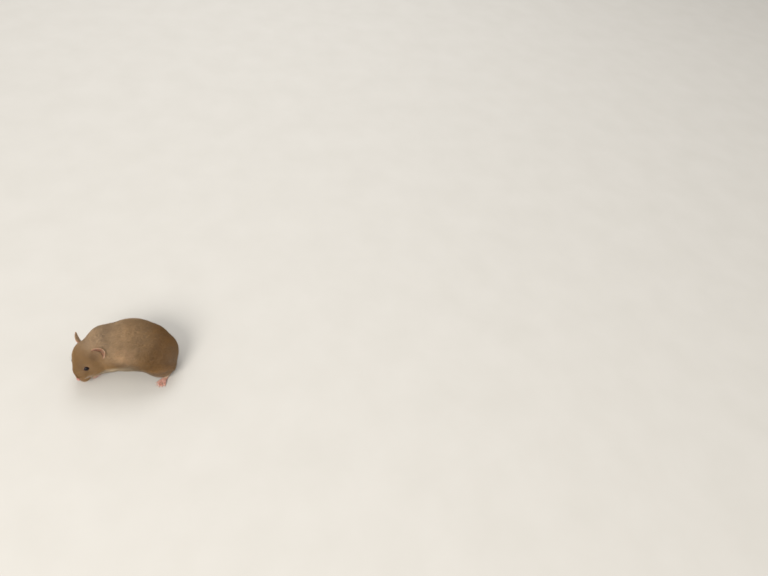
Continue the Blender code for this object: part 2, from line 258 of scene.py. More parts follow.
def melted(name, nodes):
    """Copies of some solids as one closed mesh."""
    bm = bmesh.new()
    for node in nodes:
        copy = bmesh.new()
        copy.from_mesh(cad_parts[node].data)
        bmesh.ops.remove_doubles(copy, verts=copy.verts, dist=SAME_PLACE)
        copy.normal_update()
        for vert in copy.verts:
            vert.co += vert.normal * SWELL
        mesh = bpy.data.meshes.new("copy")
        copy.to_mesh(mesh)
        copy.free()
        bm.from_mesh(mesh)
        bpy.data.meshes.remove(mesh)
    piece = new_piece(name, bm)
    remesh = piece.modifiers.new("Melt", "REMESH")
    remesh.mode = "VOXEL"
    remesh.voxel_size = SKIN_VOXEL
    bake(piece)
    return piece


def drop_crumbs(bm):
    """Keep only the largest of the forms that the remesh made."""
    left, forms = set(bm.verts), []
    while left:
        form = rim = {left.pop()}
        while rim:
            rim = {edge.other_vert(vert) for vert in rim for edge in vert.link_edges} & left
            left -= rim
            form |= rim
        forms.append(form)
    crumbs = set(bm.verts) - max(forms, key=len)
    bmesh.ops.delete(bm, geom=list(crumbs), context="VERTS")


def finer(bm, centre, reach):
    """Halve the edges round one place."""
    near = [edge for edge in bm.edges
            if all((vert.co - centre).length < reach for vert in edge.verts)]
    bmesh.ops.subdivide_edges(bm, edges=near, cuts=1, use_grid_fill=True)
    bmesh.ops.triangulate(bm, faces=[face for face in bm.faces if len(face.verts) > 3])


def toe_tips(foot):
    """Middles of a foot's claws, in their order across the foot, and the mean of them all."""
    tips = [middle(node) for node in sorted(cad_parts) if node.startswith("claw_" + foot)]
    return tips, sum(tips, Vector()) / len(tips)


skin = melted("skin", FLESH + ("nose",))
edit(skin, drop_crumbs)
decimate = skin.modifiers.new("Thin out", "DECIMATE")
decimate.ratio = min(1.0, SKIN_TRIANGLES / (2 * len(skin.data.polygons)))
bake(skin)
edit(skin, finer, nose_place, FINE_AT_NOSE)
for foot in FEET:
    edit(skin, finer, toe_tips(foot)[1], FINE_AT_TOES)
outer_points = points_of(skin.data)
outer_tree = tree_of(skin.data)
skin_edges = rows_of(skin.data.edges, "vertices", 2, np.int32)
print("skin:", len(skin.data.vertices), "points")

# %% [markdown]
# ## How deep the coat is, and what grows where
#
# The solids reach out to the tips of the coat, so the skin lies a coat's depth inside them.
# That depth differs: long on the back and flanks, almost nothing on the muzzle and feet.
# Every point of the skin takes the coat of the solid it came from, the head's is graded from
# nape to nose, and a blur over the surface lets one kind of coat pass into the next.

# %% What grows on each part
# depth of the coat in mm, how far a tuft lies along the body in mm, its width in mm, and
# tufts on each square mm
COATS = {
    "trunk": (3.3, 7.2, 0.28, 6.2),
    "neck": (2.5, 6.8, 0.29, 6.6),
    "nape": (1.8, 5.2, 0.28, 7.2),
    "forehead": (1.1, 2.8, 0.18, 10.0),
    "cheek": (1.9, 4.1, 0.23, 8.2),
    "muzzle": (0.55, 1.3, 0.15, 11.5),
    "leg": (1.8, 4.2, 0.26, 6.0),
    "foot": (0.16, 0.75, 0.10, 3.2),
    "tail": (0.7, 1.6, 0.24, 5.0),
}
# where on the head, in mm along its axes, one kind of coat passes into the next
CHEEK_BELOW = (-2, 8)
FRONT_FROM = (-12, 12)
MUZZLE_FROM = (11, 24)
COAT_BLUR = 22
EYE_CLEARING = (2.6 * MM, 7.5 * MM)  # the coat shortens towards the eye between these
EYE_RIM_COAT = 0.35  # share of its length that is left at the lids
NOSE_BED = 1.1  # mm that the skin is lower under the nose pad
NOSE_BED_EDGE = (4.0 * MM, 2.6 * MM)


def kind_of(node):
    if node.startswith(("foreleg", "hindleg")):
        return "leg"
    return "foot" if node.startswith(("forepaw", "hindfoot")) else node


flesh_nodes, flesh_points = [], []
for node in FLESH:
    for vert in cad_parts[node].data.vertices:
        flesh_nodes.append(node)
        flesh_points.append(vert.co.copy())
flesh_tree = KDTree(len(flesh_points))
for index, point in enumerate(flesh_points):
    flesh_tree.insert(point, index)
flesh_tree.balance()


def nearest_nodes(points):
    """Name of the solid that each point is nearest to."""
    return np.array([flesh_nodes[flesh_tree.find(point)[1]] for point in points])


def head_places(points):
    """Points as forward, left and up on the head, in mm."""
    turn = np.array(HEAD.to_3x3())
    return (points - np.array(head_centre)) @ turn / MM


def coat_table(points):
    """Depth, lie, width and number of tufts for each point."""
    nodes = nearest_nodes(points)
    rows = np.array([COATS.get(kind_of(node), COATS["nape"]) for node in nodes])
    places = head_places(points)[nodes == "head"]
    low = ease(-places[:, 2], *CHEEK_BELOW)[:, None]
    front = ease(places[:, 0], *FRONT_FROM)[:, None]
    tip = ease(places[:, 0], *MUZZLE_FROM)[:, None]
    rear = np.array(COATS["nape"]) * (1 - front)
    ahead = (np.array(COATS["forehead"]) * (1 - low) + np.array(COATS["cheek"]) * low) * front
    rows[nodes == "head"] = (rear + ahead) * (1 - tip) + np.array(COATS["muzzle"]) * tip
    return rows


coat_rows = blur(coat_table(outer_points), skin_edges, COAT_BLUR)
shortening = EYE_RIM_COAT + (1 - EYE_RIM_COAT) * ease(from_eyes(outer_points), *EYE_CLEARING)
coat_rows[:, :2] *= shortening[:, None]
coat_rows[:, 0] += NOSE_BED * ease(gap_to(nose_place, outer_points), *NOSE_BED_EDGE)
print("coat depth, mm:", coat_rows[:, 0].min().round(2), "to", coat_rows[:, 0].max().round(2))

# %% [markdown]
# The skin now moves inwards by the coat's depth, along its own normals.  The bodies of small
# furry animals are soft and round under the coat, so the moved skin is smoothed as well,
# much on the trunk, where the solid's flat faces would show as bands in the fur, and hardly
# at all on the toes.

# %% Sink the skin under the coat
SMOOTH_ROUNDS = 40
SMOOTH_DEPTHS = (0.2, 0.6, 1.2, 2.0, 3.2)  # coat depth in mm
SMOOTH_SHARES = (0.015, 0.05, 0.09, 0.2, 1.0)  # and how far a round moves a point there


def sink(mesh, depth):
    normals = unit(blur(normals_of(mesh), skin_edges, 3))
    points = points_of(mesh) - normals * (depth * MM)[:, None]
    softness = np.interp(depth, SMOOTH_DEPTHS, SMOOTH_SHARES)[:, None]
    for _ in range(SMOOTH_ROUNDS):
        points = points + (blur(points, skin_edges, 1) - points) * softness
    points[:, 2] = np.maximum(points[:, 2], 0)  # the soles lie flat on the floor
    place_points(mesh, points)


sink(skin.data, coat_rows[:, 0])
print("skin sunk; it stands", *in_mm([points_of(skin.data)[:, 2].max()]), "mm high")

# %% [markdown]
# ## Mouth, folds and toes
#
# A hamster's mouth is a small line under its nose: the split upper lip runs down from the
# nose and parts to both sides under the whisker pads.  A sculptor would press such lines in
# with a brush.  The brush in code takes paths, lays them on the skin, and moves each point
# near them in or out by a bell curve of its distance.  It also parts the toes, which the
# remesh had closed up: each gap runs from between two claws back over the foot.

# %% Press grooves and raise folds
PATH_STEPS = 4  # between two stops of a path on the head
OVER_FOOT = (0.2, 0.4, 0.6, 0.75)  # steps of a path from the toes to the foot's middle
FOOT_LIFT = Vector((0, 0, 3 * MM))


def from_paths(points, paths, tree):
    """How far each point lies from the nearest of some paths laid on the tree's mesh."""
    nearest = np.full(len(points), np.inf)
    for path in paths:
        laid = [np.array(tree.find_nearest(point)[0]) for point in path]
        for start, end in zip(laid, laid[1:]):
            along, reach = end - start, points - start
            share = np.clip(reach @ along / max(along @ along, 1e-12), 0, 1)[:, None]
            nearest = np.minimum(nearest, np.linalg.norm(reach - share * along, axis=1))
    return nearest


def stroke(mesh, paths, width, depth):
    """Press grooves of that width and depth along paths, or raise folds if depth is negative."""
    points = points_of(mesh)
    normals = unit(blur(normals_of(mesh), skin_edges, 2))
    press = depth * np.exp(-(from_paths(points, paths, tree_of(mesh)) / width) ** 2)
    place_points(mesh, points - normals * press[:, None])


def head_path(*places):
    """A path through places given in mm on the head, with added steps between."""
    stops = [on_head(*place) for place in places]
    return [start.lerp(end, step / PATH_STEPS) for start, end in zip(stops, stops[1:])
            for step in range(PATH_STEPS)] + stops[-1:]


def mirrored(*places):
    """A path on the head's left and the same on its right."""
    return [head_path(*((forward, left * side, up) for forward, left, up in places))
            for side in (1, -1)]


def over_foot(foot, front):
    """A path from a place at the toes back over the top of the foot."""
    return [front] + [front.lerp(middle(foot), share) + FOOT_LIFT for share in OVER_FOOT]


cleft = head_path((31.2, 0, -5.4), (31.0, 0, -7.6), (30.0, 0, -9.9))
lips = mirrored((30.0, 0, -9.9), (28.2, 2.2, -10.8), (24.5, 5.0, -11.4), (20.5, 6.8, -10.9))
pads = mirrored((28.0, 3.2, -6.0), (24.0, 6.2, -6.6))
brows = mirrored((17.0, 7.5, 8.6), (12.0, 9.4, 10.6), (7.0, 10.2, 10.8))
gaps, toes = [], []
for foot in FEET:
    tips = toe_tips(foot)[0]
    gaps += [over_foot(foot, (tip + after) / 2) for tip, after in zip(tips, tips[1:])]
    toes += [over_foot(foot, tip)[1:4] for tip in tips]
for paths, width, depth in ((lips, 0.5, 0.75), ([cleft], 0.45, 0.6), (pads, 2.2, -0.35),
                            (brows, 1.6, -0.35), (gaps, 0.45, 0.95), (toes, 0.55, -0.25)):
    stroke(skin.data, paths, width * MM, depth * MM)
mouth = lips + [cleft]
print("mouth, whisker pads and brows shaped,", len(toes), "toes parted")

# %% [markdown]
# ## Eyes and lids
#
# A hamster's eye is a bulging, very dark ball with almost no white showing.  It sits in its
# socket, so only its front is seen, and the lids wrap round it with a thin bare rim.  The
# ball is a sphere whose front bulges a little for the cornea.  The lid is a ring: one
# profile, from under the rim up and over into the cheek, is repeated round the eye's axis,
# and each copy is tilted so far that the opening becomes an almond.

# %% Eyeballs
EYE_RADIUS = 3.0 * MM
CORNEA_BULGE = 0.18 * MM
EYE_BACK = (10.1, 0.0, 1.1)  # place in the skull, in mm, that both eyes face away from
SORT_WAY = Vector((0.37, 1.93, 17.1))  # slanting, so that no two faces of a ball tie


def ball(segments, rings, radius):
    """A sphere whose faces come in the same order each run."""
    bm = bmesh.new()
    bmesh.ops.create_uvsphere(bm, u_segments=segments, v_segments=rings, radius=radius)
    bm.faces.sort(key=lambda face: face.calc_center_median().dot(SORT_WAY))
    return bm


def eye_axes(side):
    """Forward across the eye, up across it and out of it, as the columns of a frame."""
    out = (eye_places[side] - on_head(*EYE_BACK)).normalized()
    ahead = (head_forward - out * head_forward.dot(out)).normalized()
    return axes_at(eye_places[side], ahead, out.cross(ahead), out)


def make_eye(side):
    bm = ball(48, 32, EYE_RADIUS)
    front = bm.verts.layers.float.new("front")
    for vert in bm.verts:
        facing = vert.co.z / EYE_RADIUS
        vert.co *= 1 + CORNEA_BULGE / EYE_RADIUS * max(0.0, facing) ** 6
        vert[front] = vert.co.normalized().z
    bmesh.ops.transform(bm, matrix=eye_axes(side), verts=bm.verts)
    return dress(new_piece("eyeball_" + side, bm), "eye", "eye_" + side)


eyes = [make_eye(side) for side in eye_places]
print("eyeballs, mm:", in_mm(eyes[0].dimensions))

# %% Lids
OPENING_LONG = math.radians(67)  # half the opening along the head, from the ball's middle
OPENING_HIGH = math.radians(57)
OPENING_CORNER = math.radians(5)  # the front corner is drawn out by this
LID_STEPS = 40
# points of the lid's profile: mm from the ball's middle, and degrees behind the rim
LID_PROFILE = ((3.02, 24), (3.02, 2.5), (3.07, 0.3), (3.17, 0.3), (3.27, 3), (3.38, 9),
               (3.50, 22), (3.34, 40))


def opening_at(turn):
    """Angle from the eye's axis to the lid's rim, which is an almond."""
    rim = 1 / math.hypot(math.sin(turn) / OPENING_HIGH, math.cos(turn) / OPENING_LONG)
    return rim + OPENING_CORNER * max(0.0, math.cos(turn)) ** 14


def lid_profile(bm, turn):
    """Points of the lid's profile at an angle round the eye's axis."""
    for reach, behind in LID_PROFILE:
        tilt = opening_at(turn) + math.radians(behind)
        way = Vector((math.sin(tilt) * math.cos(turn), math.sin(tilt) * math.sin(turn),
                      math.cos(tilt)))
        yield bm.verts.new(way * reach * MM)


def make_lids(side):
    bm = bmesh.new()
    rings = [list(lid_profile(bm, math.tau * step / LID_STEPS)) for step in range(LID_STEPS)]
    for ring, after in zip(rings, rings[1:] + rings[:1]):
        for index in range(len(ring)):
            bm.faces.new((ring[index - 1], ring[index], after[index], after[index - 1]))
    bmesh.ops.transform(bm, matrix=eye_axes(side), verts=bm.verts)
    bmesh.ops.recalc_face_normals(bm, faces=bm.faces)
    piece = new_piece("lids_" + side, bm)
    round_off(piece, 1)
    return dress(piece, "ear_skin")


lids = {side: make_lids(side) for side in eye_places}
print("lids:", [len(piece.data.polygons) for piece in lids.values()], "faces")

# %% [markdown]
# ## Nose
#
# The nose is a small bare pink pad with two comma-shaped nostrils and a groove down its
# middle.  A fine sphere takes the solid's size, and each point is then pushed in by how near
# it is to a nostril or to the groove.

# %% The nose pad
NOSE_SIZE = Vector((1.85, 2.55, 1.80))  # half-sizes in mm: forward, left and up
NOSE_SETBACK = 0.25 * MM
NOSE_TAPER = 0.24  # narrower below than above, by this share
NOSTRIL = Vector((0.66, 0.60, -0.24)).normalized()
# the next lengths are shares of the pad's size
NOSTRIL_DEPTH, NOSTRIL_WIDTH = 0.5, 0.25
RIM_HEIGHT, RIM_PLACE, RIM_WIDTH = 0.08, 0.44, 0.13
GROOVE_DEPTH, GROOVE_WIDTH = 0.2, 0.10


def bell(gap, width):
    """1 at no gap, and next to nothing at twice the width."""
    return math.exp(-(gap / width) ** 2)


def make_nose():
    bm = ball(72, 44, 1.0)
    inside = bm.verts.layers.float.new("inside")
    for vert in bm.verts:
        x, y, z = vert.co
        beside = Vector((x, abs(y), z)) - NOSTRIL
        comma = Vector((beside.x * 0.8, beside.y * 0.8 + beside.z * 0.4, beside.z * 1.25))
        pit = NOSTRIL_DEPTH * bell(comma.length, NOSTRIL_WIDTH)
        rim = RIM_HEIGHT * bell(comma.length - RIM_PLACE, RIM_WIDTH)
        groove = GROOVE_DEPTH * bell(y, GROOVE_WIDTH) * max(0.0, x)
        # inside holds painted shade: darker with the depth of a nostril pit and, more weakly, of
        # the groove
        vert[inside] = min(1.0, pit / NOSTRIL_DEPTH * 1.6 + groove / GROOVE_DEPTH * 0.4)
        vert.co *= 1 - pit + rim - groove
        vert.co.y *= 1 + NOSE_TAPER * z
    pad = axes_at(nose_place - head_forward * NOSE_SETBACK, head_forward, head_left, head_up)
    size = Matrix.Diagonal(NOSE_SIZE * MM).to_4x4()
    bmesh.ops.transform(bm, matrix=pad @ size, verts=bm.verts)
    return dress(new_piece("nose_pad", bm), "nose_skin", "nose")


nose = make_nose()
print("nose pad:", len(nose.data.polygons), "faces")

# %% [markdown]
# ## Ears
#
# Each ear is one thin sheet of skin, rolled into a cup at its root and opening out to a round
# leaf.  A grid mapped onto a disc gives the leaf, because its rows run round the edge with no
# pole in the middle.  The cup, a roll along the front rim and two soft folds inside are
# added, and Solidify gives the sheet its thickness.

# %% Ear leaves
EAR_FROM = (-4.48, 0.0, 0.0)  # inside the skull, in mm, between the ears
EAR_TOWARDS = Vector((0.0, 0.85, 0.53))
EAR_GROWTH = Vector((-0.56, 0.72, 0.40))
EAR_OPENING = Vector((0.45, 0.55, 0.60))
EAR_ROOT_SINK = 3.4 * MM  # the root starts under the skin
EAR_LENGTH, EAR_WIDTH, EAR_THICKNESS = 16.2 * MM, 16.6 * MM, 0.55 * MM
EAR_CUP, EAR_CURL, EAR_ROLL = 4.7 * MM, 1.7 * MM, 0.5 * MM
EAR_GRID = 40
# height of each fold, its place across the leaf, its slant and its width
EAR_FOLDS = ((0.45 * MM, 0.28, 0.25, 0.13), (0.35 * MM, -0.42, 0.0, 0.12))


def ear_axes(side):
    """Root of an ear, the way it grows, across it, and the way its hollow faces."""
    sign = 1 if side == "left" else -1
    out, growth, opening = (HEAD.to_3x3() @ (way * Vector((1, sign, 1)))
                            for way in (EAR_TOWARDS, EAR_GROWTH, EAR_OPENING))
    out, growth = out.normalized(), growth.normalized()
    opening = (opening - growth * opening.dot(growth)).normalized()
    root = outer_tree.ray_cast(on_head(*EAR_FROM), out)[0] - out * EAR_ROOT_SINK
    return root, growth, growth.cross(opening) * sign, opening


def make_ear(side):
    root, growth, across, opening = ear_axes(side)
    bm = bmesh.new()
    bmesh.ops.create_grid(bm, x_segments=EAR_GRID, y_segments=EAR_GRID, size=1.0)
    hollow = bm.verts.layers.float.new("hollow")
    for vert in bm.verts:
        x, y = vert.co.x, vert.co.y
        sideways = x * math.sqrt(1 - y * y / 2)
        height = (y * math.sqrt(1 - x * x / 2) + 1) / 2
        from_rim = 1 - math.hypot(sideways, 2 * height - 1)
        cup = EAR_CUP * (1 - 0.4 * height) * (1 - sideways ** 2)
        fold = sum(rise * bell(sideways - across_leaf - slant * height, width)
                   * height * (1 - height) * 4 for rise, across_leaf, slant, width in EAR_FOLDS)
        roll = EAR_ROLL * bell(from_rim, 0.07) * min(1.0, height * 2)
        # the hollow share is painted shade: none at the rim, full towards the middle of the leaf
        vert[hollow] = min(1.0, max(0.0, from_rim * 2.2))
        vert.co = (root + growth * (EAR_LENGTH * height) + across * (EAR_WIDTH / 2 * sideways)
                   - opening * (cup + EAR_CURL * height ** 2 - fold - roll))
    bmesh.ops.recalc_face_normals(bm, faces=bm.faces)
    ear = new_piece("ear_leaf_" + side, bm)
    wall = ear.modifiers.new("Wall", "SOLIDIFY")
    wall.thickness = EAR_THICKNESS
    wall.offset = 0.0
    round_off(ear, 1)
    bake(ear)
    return dress(ear, "ear_skin", "ear_" + side)


ears = {side: make_ear(side) for side in ("left", "right")}
print("ears, mm:", [in_mm(ear.dimensions) for ear in ears.values()])

# %% [markdown]
# ## Claws
#
# The claws' solids have the right size but few faces.  Copies of them are merged into one
# piece and rounded by subdivision, which turns each six-sided cone into a smooth horn.

# %% Claws
CLAWS = [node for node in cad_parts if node.startswith("claw_")]


def make_claws():
    bm = bmesh.new()
    for node in CLAWS:
        bm.from_mesh(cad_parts[node].data)
    bmesh.ops.remove_doubles(bm, verts=bm.verts, dist=SAME_PLACE)
    piece = new_piece("claws", bm)
    round_off(piece, 2)
    return dress(piece, "claw", *CLAWS)


claws = make_claws()
print("claws:", len(CLAWS), "in one piece")

# %% [markdown]
# ## The lie of the coat
#
# Hair grows back from the nose, over the head and along the body to the tail.  On the flanks
# and rump it also slopes down, and on the legs it runs down to the toes.  A comb in code is a
# direction at every point of the skin: a sum of simple directions, one for each part, laid
# flat on the surface and blurred so that they run into each other.

# %% Comb the skin
COMB_ROUNDS = 18
BEND = (0.0080, 4.0)  # how fast the way turns aside, from 4 mm before the middle
# how steeply hair slopes down, growing from one height or length in mm to another
FLANK_SLOPE = (0.34, 48, 20)
RUMP_SLOPE = (0.9, 34, 58)
LEG_SLOPE = (2.5, 2.0, 9.0)
MUZZLE = (33.0, 0, -2.0)  # hair on the head runs away from this place, in mm
COMB_HEAD = (-30, -8)  # and comes in between these, from nape to forehead


def body_way(points):
    """Along the bent spine to the rump, sloping down on the flanks and round the hind end."""
    y, z = points[:, 1] / MM, points[:, 2] / MM
    down = -FLANK_SLOPE[0] * ease(z, *FLANK_SLOPE[1:]) - RUMP_SLOPE[0] * ease(y, *RUMP_SLOPE[1:])
    return unit(np.stack([BEND[0] * (y + BEND[1]), np.ones(len(y)), down], axis=1))


def leg_way(points, foot):
    """Down the leg, then out along the foot."""
    ways = unit(np.tile(np.array(toe_tips(foot)[1] - middle(foot)), (len(points), 1)))
    ways[:, 2] -= LEG_SLOPE[0] * ease(points[:, 2] / MM, *LEG_SLOPE[1:])
    return unit(ways)


def flat(ways, normals):
    """Ways laid flat on the surface."""
    return unit(ways - normals * np.sum(ways * normals, axis=1, keepdims=True))


def comb(points, normals):
    """The way that the coat lies at each point."""
    nodes = nearest_nodes(points)
    ways = body_way(points)
    from_muzzle = unit(points - np.array(on_head(*MUZZLE)))
    share = ease(head_places(points)[:, 0], *COMB_HEAD)[:, None]
    share = share * np.isin(nodes, ("head", "neck"))[:, None]
    ways = unit(ways * (1 - share) + from_muzzle * share)
    for leg, foot in zip(LEGS, FEET):
        share = blur(np.isin(nodes, (leg, foot)), skin_edges, 3 * COMB_ROUNDS)[:, None]
        ways = unit(ways * (1 - share) + leg_way(points, foot) * share)
    return flat(blur(ways, skin_edges, COMB_ROUNDS), normals)


skin_points = points_of(skin.data)
skin_normals = unit(blur(normals_of(skin.data), skin_edges, 2))
skin_ways = comb(skin_points, skin_normals)
skin_tree = tree_of(skin.data)
print("combed", len(skin_points), "points")

# %% [markdown]
# ## Tufts
#
# One hair is far too thin to model, and a hamster has hundreds of thousands, so each tuft
# stands for a few hairs that hold together.  A tuft is a small closed spike: three points at
# its root, three further on, and one at its tip.  Particle hair would be quicker to set up,
# but it isn't part of the mesh, so it is lost when the model is used elsewhere.
#
# Roots are spread by area.  The mid point and the tip slide along the lie of the coat and
# are then set at their own height over the skin below them, so the coat closes over hollows
# and follows every bend.  A slow ripple turns neighbouring tufts the same way, which makes
# the soft clumps of a real coat.

# %% Choose the roots
chance = np.random.default_rng(29)
TUFT_SHARE = 1.0


def ripple(points, size, phase):
    """A smooth value between -1 and 1 that changes over about that many mm."""
    x, y, z = (points / (size * MM)).T
    return (np.sin(x * 1.7 + y * 1.1 + phase) + np.sin(y * 1.9 - z * 1.3 + phase * 2.3)
            + np.sin(z * 2.1 + x * 0.9 - phase * 1.7)) / 3


def spread(points, triangles, per_square_mm):
    """Roots spread over a mesh: the corners of the triangle of each, and their weights."""
    a, b, c = (points[triangles[:, corner]] for corner in range(3))
    area = np.linalg.norm(np.cross(b - a, c - a), axis=1) / 2 / MM ** 2
    number = np.cumsum(area * per_square_mm[triangles].mean(axis=1))
    count = int(number[-1])
    places = (np.arange(count) + chance.random(count)) * number[-1] / count
    picked = np.minimum(np.searchsorted(number, places), len(triangles) - 1)
    first, second = chance.random(count), chance.random(count)
    folded = first + second > 1
    first[folded], second[folded] = 1 - first[folded], 1 - second[folded]
    return triangles[picked], np.stack([1 - first - second, first, second], axis=1)


def at(values, corners, weights):
    """A value of the points, taken at the roots."""
    return np.einsum("ij,ij...->i...", weights, values[corners])


corners, weights = spread(skin_points, triangles_of(skin.data), coat_rows[:, 3] * TUFT_SHARE)
roots = at(skin_points, corners, weights)
print("roots on the skin:", len(roots))

# %% Keep the bare places bare
LIP_EDGE, SOLE_EDGE = 0.45 * MM, 0.9 * MM
BARE_NOSE, BARE_EYE = 2.9 * MM, 3.45 * MM


def bare(points):
    """True where no hair grows: lips' edge, soles, nose and eyes."""
    return ((from_paths(points, mouth, skin_tree) < LIP_EDGE) | (points[:, 2] < SOLE_EDGE)
            | (gap_to(nose_place, points) < BARE_NOSE) | (from_eyes(points) < BARE_EYE))


kept = ~bare(roots)
corners, weights, roots = corners[kept], weights[kept], roots[kept]
print("roots kept:", len(roots))

# %% Lay the tufts along the body
GUARD_SHARE = 0.06  # of the tufts are guard hairs, whose tips stand out
GUARD_RISE = 0.28  # by this share of the coat's depth
SWIRL = (0.16, 5.0, 0.7)  # how far ripples turn a tuft, their size in mm and phase
CLUMP = (0.04, 2.6, 2.1)  # and how far others raise it
LOOSE_TURN, LOOSE_LIE = 0.07, 0.16  # how much tufts differ by chance
LOOSE_DEPTH, LOOSE_WIDTH = (0.84, 1.03), (0.8, 1.2)
MID_HEIGHT = 0.72  # of the mid points, as a share of the depth
LOWEST_MID, LOWEST_TIP = 0.25 * MM, 0.15 * MM


def on_skin(points):
    """Nearest places on the skin and its normals there."""
    found = [skin_tree.find_nearest(point)[:2] for point in points]
    return (np.array([tuple(row[part]) for row in found]) for part in range(2))


def lay(roots, normals, ways, rows):
    """Mid points, tips, sideways directions and widths of tufts along the skin."""
    count = len(roots)
    depth, lie, width = (rows[:, :3] * MM).T
    swirl = SWIRL[0] * ripple(roots, *SWIRL[1:]) + LOOSE_TURN * chance.standard_normal(count)
    ways = unit(ways + unit(np.cross(normals, ways)) * swirl[:, None])
    lie = lie * (1 + LOOSE_LIE * chance.standard_normal(count)).clip(0.6, 1.5)
    depth = depth * (1 + CLUMP[0] * ripple(roots, *CLUMP[1:]))
    depth = depth * chance.uniform(*LOOSE_DEPTH, count)
    mids, mid_normals = on_skin(roots + ways * (lie * 0.5)[:, None])
    tips, tip_normals = on_skin(mids + ways * (lie * 0.5)[:, None])
    guard = 1 + GUARD_RISE * (chance.random(count) < GUARD_SHARE)
    mids = mids + mid_normals * (depth * MID_HEIGHT)[:, None]
    tips = tips + tip_normals * (depth * guard)[:, None]
    mids[:, 2] = np.maximum(mids[:, 2], LOWEST_MID)
    tips[:, 2] = np.maximum(tips[:, 2], LOWEST_TIP)
    return mids, tips, unit(np.cross(normals, ways)), width * chance.uniform(*LOOSE_WIDTH, count)


root_normals = unit(at(skin_normals, corners, weights))
root_ways = unit(at(skin_ways, corners, weights))
root_rows = at(coat_rows, corners, weights)
mids, tips, sides, widths = lay(roots, root_normals, root_ways, root_rows)
print("tufts laid:", len(tips))

# %% [markdown]
# A tuft may not run into an eye, over the lips or through an ear.  The few that would are
# dropped: those that come too near an eye or the line of the mouth, and any whose line from
# root to tip crosses the leaf of an ear.

# %% Clear the eyes, the lips and the ears
CLEAR_OF_EYE, CLEAR_OF_LIPS = 0.42 * MM, 0.8 * MM
NEAR_EAR = 15 * MM


def crosses(tree, starts, ends):
    """True where a line meets the tree's mesh."""
    lines = [(Vector(start), Vector(end) - Vector(start)) for start, end in zip(starts, ends)]
    return np.array([tree.ray_cast(start, reach, reach.length)[0] is not None
                     for start, reach in lines], dtype=bool)


blocked = np.zeros(len(roots), dtype=bool)
for line in (mids, tips, (mids + tips) / 2):
    blocked |= from_eyes(line) < EYE_RADIUS + CLEAR_OF_EYE
for line in (mids, tips):
    blocked |= from_paths(line, mouth, skin_tree) < CLEAR_OF_LIPS
for ear in ears.values():
    leaf = tree_of(ear.data)
    close = np.flatnonzero(gap_to(points_of(ear.data).mean(axis=0), tips) < NEAR_EAR)
    for starts, ends in ((roots, mids), (mids, tips)):
        blocked[close] |= crosses(leaf, starts[close], ends[close])
print("tufts dropped at eyes, lips and ears:", int(blocked.sum()))

# %% [markdown]
# ## From tufts to meshes
#
# Every tuft has seven points and ten triangles, so a whole coat is one array of points with
# one pattern of faces repeated.  Each tuft also gets three things of its own: a small patch
# on an unwrap of the skin, so that a baked colour lands on the right tuft, a tone that makes
# it a little lighter or darker than the next, and its rise from 0 at the root to 1 at the tip.

# %% Build a coat piece
PATCH = 0.003
# corners of the root ring are 0 1 2, of the mid ring 3 4 5, and the tip is 6
TUFT_FACES = np.array([(0, 1, 4), (0, 4, 3), (1, 2, 5), (1, 5, 4), (2, 0, 3), (2, 3, 5),
                       (3, 4, 6), (4, 5, 6), (5, 3, 6), (0, 2, 1)])
PATCH_PLACES = PATCH * np.array([(0, 0), (1, 0), (0.5, 0), (0, 0.5), (1, 0.5), (0.5, 0.5),
                                 (0.5, 1)])
TUFT_RISE = (0.0, 0.0, 0.0, 0.55, 0.55, 0.55, 1.0)
ROOT_WIDTH = 0.7  # as a share of the width at the mid ring
THICKNESS = 0.34
MAP_MARGIN, MAP_SPAN = 0.02, 0.94  # of each of the map's six views


def unwrap(points, normals):
    """Six flat views of a form, one for each way that its skin can face, in one map."""
    low, high = points.min(axis=0), points.max(axis=0)
    share = (points - low) / np.maximum(high - low, 1e-9)
    axis = np.abs(normals).argmax(axis=1)
    facing_up = normals[np.arange(len(normals)), axis] > 0
    across = np.where(axis == 0, share[:, 1], share[:, 0])
    upwards = np.where(axis == 2, share[:, 1], share[:, 2])
    return np.stack([(axis + MAP_MARGIN + MAP_SPAN * across) / 3,
                     (facing_up + MAP_MARGIN + MAP_SPAN * upwards) / 2], axis=1)


def store(mesh, name, values):
    """Give each point of a mesh a value that materials can read."""
    mesh.attributes.new(name, "FLOAT", "POINT").data.foreach_set("value", values)


def coat_piece(name, roots, mids, tips, normals, sides, widths, tones):
    """Closed tufts as one mesh, with its unwrap and its attributes."""
    count = len(roots)
    half = sides * (widths / 2)[:, None]
    thick = normals * (widths * THICKNESS)[:, None]
    rings = np.stack([roots - half * ROOT_WIDTH - thick, roots + half * ROOT_WIDTH - thick,
                      roots, mids - half, mids + half, mids + thick, tips], axis=1)
    faces = (TUFT_FACES[None] + np.arange(count)[:, None, None] * 7).reshape(-1, 3)
    mesh = bpy.data.meshes.new(name)
    mesh.vertices.add(count * 7)
    mesh.vertices.foreach_set("co", rings.ravel())
    mesh.loops.add(len(faces) * 3)
    mesh.loops.foreach_set("vertex_index", faces.ravel())
    mesh.polygons.add(len(faces))
    mesh.polygons.foreach_set("loop_start", np.arange(len(faces)) * 3)
    mesh.update(calc_edges=True)
    places = (unwrap(roots, normals)[:, None] + PATCH_PLACES[None]).reshape(-1, 2)
    mesh.uv_layers.new(name="OFBake").uv.foreach_set("vector", places[faces.ravel()].ravel())
    store(mesh, "tone", np.repeat(tones, 7))
    store(mesh, "rise", np.tile(TUFT_RISE, count))
    return dress(link(name, mesh), "coat")


# %% Part the coat into pieces
PIECE_TUFTS = 19000
REGIONS = {"face": ("head",), "neck": ("neck",), "trunk": ("trunk", "tail"), "legs": LEGS + FEET}
TONE_SPREAD = 0.2
SHORT_COAT_TONE = 0.34  # short coat has no tufts darker than this

